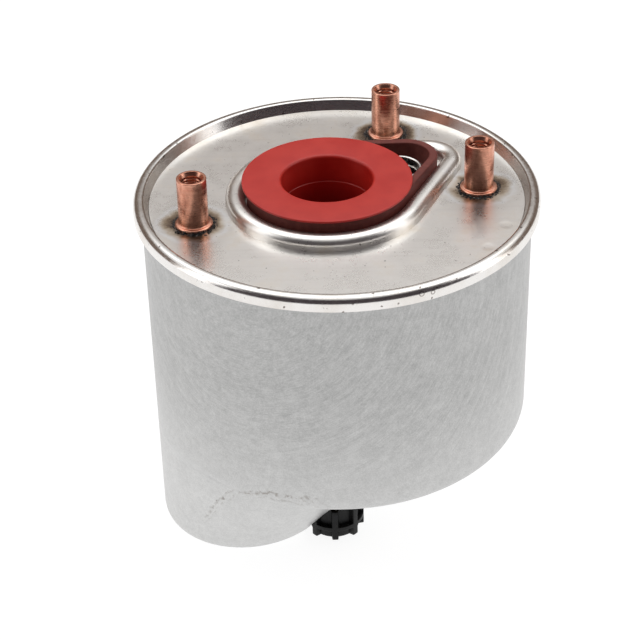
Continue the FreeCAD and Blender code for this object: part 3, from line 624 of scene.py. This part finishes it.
# %% Transit plug
PLUG_LOW, PLUG_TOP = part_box("transit_plug")[0][2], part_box("transit_plug")[1][2]
PLUG_R = half_width("transit_plug")
BORE_R, PLUG_UNDER = 11.0 * MM, PLUG_TOP - 0.6 * MM
plug_outline = np.array([[0.0, PLUG_LOW], [BORE_R + 0.4 * MM, PLUG_LOW], [BORE_R + 1.0 * MM, PLUG_LOW + 1.5 * MM],
                         [BORE_R + 1.0 * MM, PLUG_UNDER], [PLUG_R, PLUG_UNDER], [PLUG_R, PLUG_TOP],
                         [BORE_R, PLUG_TOP], [BORE_R - 0.12 * MM, PLUG_TOP - 7.0 * MM],
                         [BORE_R - 0.28 * MM, PLUG_TOP - 7.15 * MM], [BORE_R - 0.4 * MM, PLUG_LOW + 1.0 * MM],
                         [0.0, PLUG_LOW + 1.0 * MM]])
plug_radii = np.array([0, 0.3, 0.3, 0.2, 0.22, 0.25, 0.75, 0.06, 0.06, 0.5, 0]) * MM
plug = surface("moulded_plug", turned(rounded(plug_outline, plug_radii, steps=7), PORT, 224))
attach(plug, "plug")
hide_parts("transit_plug")

# %% [markdown]
# The drain screw's knob is gripped by its ribs. Its radius depends on angle and height: eight rounded ribs stand
# out from the core, and a ring joins them a third of the way up. The stem above it goes up into the bush.

# %% Drain knob
KNOB_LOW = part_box("drain_knob")[0][2]
KNOB_H, CORE_R, RIB_R, RIBS = 9.5 * MM, 6.3 * MM, 7.55 * MM, 8
RING_Z, RING_T = 2.9 * MM, 1.5 * MM
KNOB_COLUMNS = 256


def knob_radius(height, angle):
    """Core plus ribs: core + (rib - core) x smooth step of cos(ribs x angle), and the full radius inside the ring."""
    crest = np.clip((np.cos(RIBS * angle) - 0.42) / 0.28, 0, 1)
    rib = crest * crest * (3 - 2 * crest)
    ring = np.clip(4 - 4 * np.abs(height - RING_Z - RING_T / 2) / (RING_T / 2), 0, 1)
    return CORE_R + (RIB_R - CORE_R) * np.maximum(rib, ring)


levels = np.concatenate([[0.35, 0.55, 0.9], np.arange(1.4, 2.5, 0.5), np.arange(2.6, 4.7, 0.12),
                         np.arange(4.9, 9.1, 0.6), [9.15, 9.32]]) * MM
angle = np.linspace(0, 2 * math.pi, KNOB_COLUMNS, endpoint=False)
ease = np.clip(np.minimum(levels, KNOB_H - levels) / (0.7 * MM), 0, 1)[:, None]
radius = knob_radius(levels[:, None], angle) - 0.4 * MM * (1 - np.sqrt(1 - (1 - ease) ** 2))
grip = np.stack([DRAIN[0] + radius * np.cos(angle), DRAIN[1] + radius * np.sin(angle),
                 KNOB_LOW + levels[:, None] + 0 * radius], -1)
STEM_R, STEM_TOP, PASSAGE_R = 3.6 * MM, KNOB_LOW + 22.0 * MM, 1.5 * MM


def face(radius, height):
    """One ring of the knob's grid."""
    return turned(np.array([[radius, height]]), DRAIN, KNOB_COLUMNS)


stem_z = np.arange(KNOB_LOW + KNOB_H + 0.9 * MM, STEM_TOP - 0.8 * MM, PITCH / 8)
tooth = np.abs(2 * ((stem_z[:, None] / PITCH - angle / (2 * math.pi)) % 1) - 1)
stem_r = STEM_R - 0.3 * MM * tooth
stem = np.stack([DRAIN[0] + stem_r * np.cos(angle), DRAIN[1] + stem_r * np.sin(angle),
                 stem_z[:, None] + 0 * stem_r], -1)
knob_grid = np.concatenate([
    face(PASSAGE_R, STEM_TOP), face(PASSAGE_R, KNOB_LOW + 0.1 * MM), face(PASSAGE_R + 0.2 * MM, KNOB_LOW),
    face(3.4 * MM, KNOB_LOW), face(3.6 * MM, KNOB_LOW + 0.8 * MM), face(4.9 * MM, KNOB_LOW + 0.8 * MM),
    face(5.1 * MM, KNOB_LOW), face(5.75 * MM, KNOB_LOW), grip, face(5.6 * MM, KNOB_LOW + KNOB_H),
    face(STEM_R - 0.5 * MM, KNOB_LOW + KNOB_H), face(STEM_R - 0.5 * MM, KNOB_LOW + KNOB_H + 0.7 * MM), stem,
    face(STEM_R - 0.5 * MM, STEM_TOP)])
knob = surface("ribbed_knob", knob_grid, wrap_rows=True)
soften(knob, 42)
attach(knob, "drain_screw")
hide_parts("drain_knob")
print("knob faces:", len(knob.data.polygons))

# %% [markdown]
# Finishes are procedural. Each is one Principled shader with a few patterns wired into it: blotches and grain for
# the drawn aluminium, heat tints round the studs for the steel, turning marks for the copper. A small builder class
# keeps the wiring short. Patterns read the piece's own coordinates, so they stay put when the camera moves.

# %% Material builder
class Finish:
    """One material under construction; values may be numbers, colours or the outputs of other nodes."""

    def __init__(self, name, colour, metallic, roughness, specular=0.5):
        self.material = bpy.data.materials.new(name)
        self.material.use_nodes = True
        self.tree = self.material.node_tree
        self.shader = self.tree.nodes["Principled BSDF"]
        self.set("Base Color", colour)
        self.set("Metallic", metallic)
        self.set("Roughness", roughness)
        self.set("Specular IOR Level", specular)
        self.place = self.node("ShaderNodeTexCoord", output="Object")

    def set(self, socket, value):
        self.wire(self.shader.inputs[socket], value)

    def wire(self, socket, value):
        if isinstance(value, bpy.types.NodeSocket):
            self.tree.links.new(value, socket)
        elif socket.type == "RGBA" and len(value) == 3:
            socket.default_value = (*value, 1.0)
        else:
            socket.default_value = value

    def node(self, kind, *inputs, output=0, **settings):
        made = self.tree.nodes.new(kind)
        for name, value in settings.items():
            setattr(made, name, value)
        for index, value in enumerate(inputs):
            if value is not None:
                self.wire(made.inputs[index], value)
        return made.outputs[output]

    def math(self, operation, *values):
        return self.node("ShaderNodeMath", *values, operation=operation)

    def scaled(self, vector, sizes):
        """The vector divided by a pattern size in metres along each axis."""
        return self.node("ShaderNodeVectorMath", vector, tuple(1 / size for size in sizes), operation="MULTIPLY")

    def noise(self, vector, sizes, detail=3.0, roughness=0.55):
        """Noise whose grains are about as large as sizes, in metres, as a value near 0.5."""
        made = self.tree.nodes.new("ShaderNodeTexNoise")
        self.wire(made.inputs["Vector"], self.scaled(vector, sizes))
        made.inputs["Scale"].default_value = 1.0
        made.inputs["Detail"].default_value = detail
        made.inputs["Roughness"].default_value = roughness
        return made.outputs["Fac"]

    def span(self, value, low, high, to_low=0.0, to_high=1.0):
        """A smooth step of value from low to high."""
        made = self.tree.nodes.new("ShaderNodeMapRange")
        made.interpolation_type = "SMOOTHSTEP"
        for socket, entry in zip(made.inputs, (value, low, high, to_low, to_high)):
            self.wire(socket, entry)
        return made.outputs["Result"]

    def blend(self, factor, first, second, mode="MIX"):
        made = self.tree.nodes.new("ShaderNodeMix")
        made.data_type, made.blend_type = "RGBA", mode
        self.wire(made.inputs["Factor"], factor)
        self.wire(made.inputs[6], first)
        self.wire(made.inputs[7], second)
        return made.outputs[2]

    def bump(self, height, strength, distance):
        made = self.tree.nodes.new("ShaderNodeBump")
        self.wire(made.inputs["Height"], height)
        made.inputs["Strength"].default_value = strength
        made.inputs["Distance"].default_value = distance
        self.tree.links.new(made.outputs["Normal"], self.shader.inputs["Normal"])

    def split(self, vector):
        made = self.tree.nodes.new("ShaderNodeSeparateXYZ")
        self.wire(made.inputs[0], vector)
        return made.outputs

    def distance(self, x, y):
        """Plan distance in metres from the point x, y."""
        flat = self.node("ShaderNodeVectorMath", self.place, (1.0, 1.0, 0.0), operation="MULTIPLY")
        return self.node("ShaderNodeVectorMath", flat, (float(x), float(y), 0.0), operation="DISTANCE", output=1)


def cubes(size):
    return (size, size, size)


# %% [markdown]
# The can was scoured after drawing: faint arcs sweep over it round a point near the top of its left front. The
# arcs need the skin unrolled, so each point of the mesh carries three numbers as an attribute: how far it is from
# the arcs' centre along the skin, its direction from there, and which side it is on.

# %% Brushing attribute on the can
ARC_TURN, ARC_Z = math.radians(-121), -6.0 * MM
points = np.empty(len(can.data.vertices) * 3, dtype=np.float32)
can.data.vertices.foreach_get("co", points)
points = points.reshape(-1, 3)
around = (np.arctan2(points[:, 1], points[:, 0]) - ARC_TURN + math.pi) % (2 * math.pi) - math.pi
run, drop = CAN_R * around, points[:, 2] - ARC_Z
arc = np.hypot(run, drop)
lift = np.arcsin(np.clip(drop / np.maximum(arc, 1e-6), -1, 1))
values = np.column_stack([arc, lift * 0.05, 0.03 * np.sin(around)]).astype(np.float32)
can.data.attributes.new("brushing", "FLOAT_VECTOR", "POINT").data.foreach_set("vector", values.ravel())
can.data.attributes.new("run", "FLOAT", "POINT").data.foreach_set("value", run.astype(np.float32))
print("brushed arcs reach %.0f mm from their centre" % (arc.max() / MM))

# %% Drawn aluminium
aluminium = Finish("drawn_aluminium", (0.54, 0.54, 0.54), 0.9, 0.42)
brushing = aluminium.node("ShaderNodeAttribute", output="Vector", attribute_name="brushing")
run_along = aluminium.node("ShaderNodeAttribute", output="Fac", attribute_name="run")
blotch = aluminium.noise(aluminium.place, cubes(7 * MM), 4.0, 0.6)
mottle = aluminium.noise(aluminium.place, cubes(1.6 * MM), 3.0, 0.65)
grain = aluminium.noise(aluminium.place, cubes(0.32 * MM), 2.0, 0.6)
stroke = aluminium.noise(brushing, (0.26 * MM, 3.6 * MM, 40 * MM), 2.0, 0.6)
swath = aluminium.noise(brushing, (1.3 * MM, 7 * MM, 40 * MM), 2.0, 0.5)
height = aluminium.split(aluminium.place)[2]
brushed = aluminium.span(height, -76 * MM, -44 * MM)
tone = aluminium.math("ADD", aluminium.span(blotch, 0.3, 0.7, -0.03, 0.03),
                      aluminium.span(mottle, 0.25, 0.75, -0.03, 0.03))
tone = aluminium.math("ADD", tone, aluminium.span(grain, 0.25, 0.75, -0.05, 0.05))
marks = aluminium.math("ADD", aluminium.span(stroke, 0.3, 0.72, -0.03, 0.04),
                       aluminium.span(swath, 0.3, 0.7, -0.015, 0.015))
tone = aluminium.math("ADD", tone, aluminium.math("MULTIPLY", marks, brushed))
# painted reflection: the can's base colour is made paler towards its foot, standing in for the bright floor it
# reflects
painted_floor_reflection = aluminium.span(height, -92 * MM, -34 * MM, 0.17, 0.0)
tone = aluminium.math("ADD", aluminium.math("ADD", tone, painted_floor_reflection), 0.46)
# the crease over the sump, a fold the skin doesn't model: painted shade of the fold along a scuffed line, z = z0 - k
# (run - run0)^2, broken up by noise
CREASE_Z, CREASE_RUN, CREASE_BEND = -67.8 * MM, 12.0 * MM, 0.0225 / MM
ragged = aluminium.noise(aluminium.place, cubes(3.2 * MM), 4.0, 0.7)
wander = aluminium.span(ragged, 0.2, 0.8, -1.1 * MM, 1.1 * MM)
offset = aluminium.math("SUBTRACT", run_along, CREASE_RUN)
bend = aluminium.math("MULTIPLY", aluminium.math("MULTIPLY", offset, offset), CREASE_BEND)
line = aluminium.math("ADD", aluminium.math("SUBTRACT", height, CREASE_Z), aluminium.math("ADD", bend, wander))
near_line = aluminium.span(aluminium.math("ABSOLUTE", line), 0.1 * MM, 0.8 * MM, 1.0, 0.0)
second = aluminium.math("ABSOLUTE", aluminium.math("ADD", line, 1.9 * MM))
near_line = aluminium.math("MAXIMUM", near_line, aluminium.span(second, 0.05 * MM, 0.5 * MM, 0.5, 0.0))
window = aluminium.math("MULTIPLY", aluminium.span(run_along, -23 * MM, -14 * MM),
                        aluminium.span(run_along, 12 * MM, 24 * MM, 1.0, 0.0))
breaks = aluminium.span(aluminium.noise(aluminium.place, cubes(1.5 * MM), 4.0, 0.7), 0.42, 0.60)
crease_shade_and_scuff = aluminium.math("MULTIPLY", aluminium.math("MULTIPLY", near_line, window), breaks)
grey = aluminium.node("ShaderNodeCombineColor", tone, tone, aluminium.math("MULTIPLY", tone, 0.99))
# painted shade and scuffs: the base colour is darkened along the crease line
aluminium.set("Base Color", aluminium.blend(crease_shade_and_scuff, grey, (0.34, 0.32, 0.30)))
aluminium.set("Roughness", aluminium.span(blotch, 0.3, 0.7, 0.38, 0.48))
relief = aluminium.math("ADD", aluminium.math("MULTIPLY", stroke, brushed), aluminium.math("MULTIPLY", grain, 0.8))
aluminium.bump(relief, 0.16, 0.05 * MM)

# %% [markdown]
# The cover is bright steel. Welding left rings of heat tint round each stud: brown at the flash, then straw, then a
# pale halo. The nearest stud's distance drives one colour ramp, so the three halos come from one chain of nodes.

# %% Pressed steel
steel = Finish("pressed_steel", (0.8, 0.78, 0.75), 1.0, 0.22)
nearest = None
for side_name in ("left", "rear", "right"):
    apart = steel.distance(*centre("stud_" + side_name)[:2])
    nearest = apart if nearest is None else steel.math("MINIMUM", nearest, apart)
cloud = steel.noise(steel.place, cubes(9 * MM), 4.0, 0.6)
fine = steel.noise(steel.place, cubes(0.5 * MM), 3.0, 0.6)
streak = steel.noise(steel.place, (26 * MM, 1.1 * MM, 9 * MM), 3.0, 0.6)
ripple = steel.math("ADD", nearest, steel.span(cloud, 0.25, 0.75, -1.2 * MM, 1.2 * MM))
tint = steel.tree.nodes.new("ShaderNodeValToRGB")
steel.wire(tint.inputs[0], steel.span(ripple, 5.0 * MM, 13.0 * MM))
tint.color_ramp.elements[0].position, tint.color_ramp.elements[1].position = 0.0, 1.0
STOPS = [(0.0, (0.16, 0.11, 0.08)), (0.07, (0.36, 0.28, 0.20)), (0.14, (0.60, 0.52, 0.43)),
         (0.24, (0.74, 0.71, 0.67)), (0.36, (0.86, 0.86, 0.86)), (0.60, (0.80, 0.78, 0.75)),
         (1.0, (0.84, 0.82, 0.79))]
tint.color_ramp.elements[0].color = (*STOPS[0][1], 1.0)
tint.color_ramp.elements[1].color = (*STOPS[-1][1], 1.0)
for position, colour in STOPS[1:-1]:
    tint.color_ramp.elements.new(position).color = (*colour, 1.0)
warm = steel.blend(steel.span(cloud, 0.5, 0.75, 0.0, 0.5), tint.outputs[0], (0.74, 0.66, 0.56))
dull = steel.blend(steel.span(streak, 0.45, 0.8, 0.0, 0.16), warm, (0.55, 0.52, 0.49))
specks = steel.span(steel.noise(steel.place, cubes(0.9 * MM), 1.0, 0.3), 0.74, 0.80)
steel.set("Base Color", steel.blend(specks, dull, (0.4, 0.38, 0.36)))
steel.set("Roughness", steel.math("ADD", steel.span(cloud, 0.3, 0.7, 0.24, 0.31),
                                  steel.span(fine, 0.2, 0.8, 0, 0.06)))
# two shallow dents in the plate, near the right edge
DENTS = ((39.5, -14.7), (34.5, -24.3))
dents = [steel.span(steel.distance(x * MM, y * MM), 0.5 * MM, 2.0 * MM) for x, y in DENTS]
steel.bump(steel.math("ADD", steel.math("MULTIPLY", fine, 0.25), steel.math("ADD", *dents)), 0.35, 0.08 * MM)

# %% Rolled steel for the rim
rolled = Finish("rolled_steel", (0.78, 0.76, 0.73), 1.0, 0.2)
cloud = rolled.noise(rolled.place, cubes(12 * MM), 4.0, 0.65)
fine = rolled.noise(rolled.place, (1.2 * MM, 1.2 * MM, 0.16 * MM), 3.0, 0.6)
tone = rolled.blend(rolled.span(cloud, 0.35, 0.75, 0.0, 0.6), (0.80, 0.78, 0.76), (0.66, 0.61, 0.55))
specks = rolled.span(rolled.noise(rolled.place, cubes(1.1 * MM), 1.0, 0.3), 0.72, 0.78)
# small ring-shaped marks on the skirt, at (azimuth, height, ring radius)
for azimuth, z, ring_r in ((-68.5, -11.4, 0.55), (-65.3, -11.7, 0.45), (-87.0, -11.4, 0.15)):
    spot = (RIM_R * math.cos(math.radians(azimuth)), RIM_R * math.sin(math.radians(azimuth)), z * MM)
    away = rolled.node("ShaderNodeVectorMath", rolled.place, spot, operation="DISTANCE", output=1)
    from_ring = rolled.math("ABSOLUTE", rolled.math("SUBTRACT", away, ring_r * MM))
    specks = rolled.math("MAXIMUM", specks, rolled.span(from_ring, 0.05 * MM, 0.22 * MM, 0.75, 0.0))
rolled.set("Base Color", rolled.blend(specks, tone, (0.25, 0.22, 0.2)))
rolled.set("Roughness", rolled.span(fine, 0.2, 0.8, 0.15, 0.27))
rolled.bump(fine, 0.10, 0.03 * MM)

# %% Copper plate, burnt flash and brass
copper = Finish("copper_plate", (0.8, 0.42, 0.3), 1.0, 0.3)
ring_marks = copper.noise(copper.place, (30 * MM, 30 * MM, 0.14 * MM), 3.0, 0.6)
stain = copper.noise(copper.place, (2.6 * MM, 2.6 * MM, 6 * MM), 4.0, 0.65)
brown = copper.blend(copper.span(stain, 0.40, 0.68, 0.0, 0.8), (0.74, 0.36, 0.25), (0.40, 0.14, 0.085))
copper.set("Base Color", copper.blend(copper.span(ring_marks, 0.40, 0.8, 0.0, 0.3), brown, (0.88, 0.55, 0.43)))
copper.set("Roughness", copper.span(ring_marks, 0.3, 0.7, 0.22, 0.36))
copper.bump(ring_marks, 0.35, 0.05 * MM)

burnt = Finish("burnt_flash", (0.02, 0.018, 0.017), 0.4, 0.35)
crumbs = burnt.noise(burnt.place, cubes(0.45 * MM), 3.0, 0.7)
burnt.set("Base Color", burnt.blend(burnt.span(crumbs, 0.56, 0.70), (0.018, 0.015, 0.014), (0.42, 0.36, 0.32)))
burnt.set("Roughness", burnt.span(crumbs, 0.4, 0.7, 0.55, 0.2))
burnt.bump(crumbs, 0.9, 0.25 * MM)

brass = Finish("turned_brass", (0.70, 0.52, 0.24), 1.0, 0.28)
lathe = brass.noise(brass.place, (30 * MM, 30 * MM, 0.2 * MM), 2.0, 0.5)
brass.set("Base Color", brass.blend(brass.span(lathe, 0.3, 0.7), (0.66, 0.48, 0.22), (0.78, 0.62, 0.34)))

# %% [markdown]
# The plug is glossy enough to pick up a pale sheen from the studio, over a strong red. The gasket is matt and dusty.
# The knob is black nylon with a fine grain, so its edges catch a little grey.

# %% Mouldings
red = Finish("red_plastic", (0.5, 0.02, 0.012), 0.0, 0.42)
flow = red.noise(red.place, cubes(6 * MM), 4.0, 0.6)
orange_peel = red.noise(red.place, cubes(0.6 * MM), 2.0, 0.5)
skin_red = red.blend(red.span(flow, 0.3, 0.7), (0.50, 0.016, 0.010), (0.56, 0.028, 0.018))
# painted shade: the base colour darkens down the cup's bore, standing in for the shade inside the recess
deep = red.span(red.split(red.place)[2], PLUG_LOW + 1.5 * MM, PLUG_TOP - 2.5 * MM, 0.8, 0.0)
red.set("Base Color", red.blend(deep, skin_red, (0.20, 0.001, 0.0005)))
red.set("Roughness", red.span(flow, 0.3, 0.7, 0.38, 0.47))
red.bump(orange_peel, 0.08, 0.03 * MM)

rubber = Finish("brown_rubber", (0.10, 0.02, 0.013), 0.0, 0.62, 0.4)
dust = rubber.noise(rubber.place, cubes(1.4 * MM), 4.0, 0.65)
rubber.set("Base Color", rubber.blend(rubber.span(dust, 0.35, 0.75), (0.150, 0.028, 0.021), (0.205, 0.050, 0.038)))
rubber.set("Roughness", rubber.span(dust, 0.3, 0.7, 0.56, 0.7))
rubber.bump(dust, 0.15, 0.05 * MM)

nylon = Finish("black_nylon", (0.004, 0.004, 0.004), 0.0, 0.45, 0.25)
tooling = nylon.noise(nylon.place, cubes(0.5 * MM), 3.0, 0.6)
nylon.set("Base Color", nylon.blend(nylon.span(tooling, 0.3, 0.8), (0.002, 0.002, 0.0022), (0.005, 0.005, 0.0055)))
nylon.set("Roughness", nylon.span(tooling, 0.3, 0.7, 0.38, 0.52))
nylon.bump(tooling, 0.12, 0.04 * MM)


# %% Finishes for the sealed parts inside
def plain(name, dark, light, size, roughness, metallic=0.0):
    """A finish that drifts between two colours over grains of about one size."""
    finish = Finish(name, dark, metallic, roughness)
    drift = finish.noise(finish.place, cubes(size), 4.0, 0.6)
    finish.set("Base Color", finish.blend(finish.span(drift, 0.3, 0.7), dark, light))
    return finish


paper = plain("filter_paper", (0.62, 0.52, 0.34), (0.70, 0.61, 0.43), 0.8 * MM, 0.85)
inner_plastic = plain("cap_plastic", (0.10, 0.11, 0.12), (0.13, 0.14, 0.15), 2 * MM, 0.5)
black_rubber = plain("seal_rubber", (0.018, 0.018, 0.018), (0.03, 0.03, 0.03), 1 * MM, 0.6)
compound = plain("seal_compound", (0.30, 0.28, 0.25), (0.38, 0.36, 0.33), 1.5 * MM, 0.7)
mesh_cloth = plain("sleeve_mesh", (0.70, 0.72, 0.74), (0.80, 0.81, 0.82), 0.5 * MM, 0.7)

# %% Give every piece its finish
FINISHES = {can: aluminium, plate: steel, lip: steel, collar: steel, rim: rolled, gasket: rubber, plug: red,
            knob: nylon}
FINISHES.update({piece: copper for piece in studs})
FINISHES.update({piece: burnt for piece in flashes})
for piece, finish in FINISHES.items():
    piece.data.materials.append(finish.material)

INSIDE = {"drain_boss": brass, "drain_seal": black_rubber, "outlet_seal": black_rubber, "seam_seal": compound,
          "pleated_element": paper, "coalescer_sleeve": mesh_cloth, "outlet_spigot": rolled,
          "inlet_deflector": rolled}
for name in ("upper_end_cap", "lower_end_cap", "centre_tube", "locating_ring", "support_ring", "water_baffle"):
    INSIDE[name] = inner_plastic
for name, finish in INSIDE.items():
    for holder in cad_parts[name].material_slots:
        holder.material = finish.material
print("finishes:", len({finish.material.name for finish in [*FINISHES.values(), *INSIDE.values()]}))
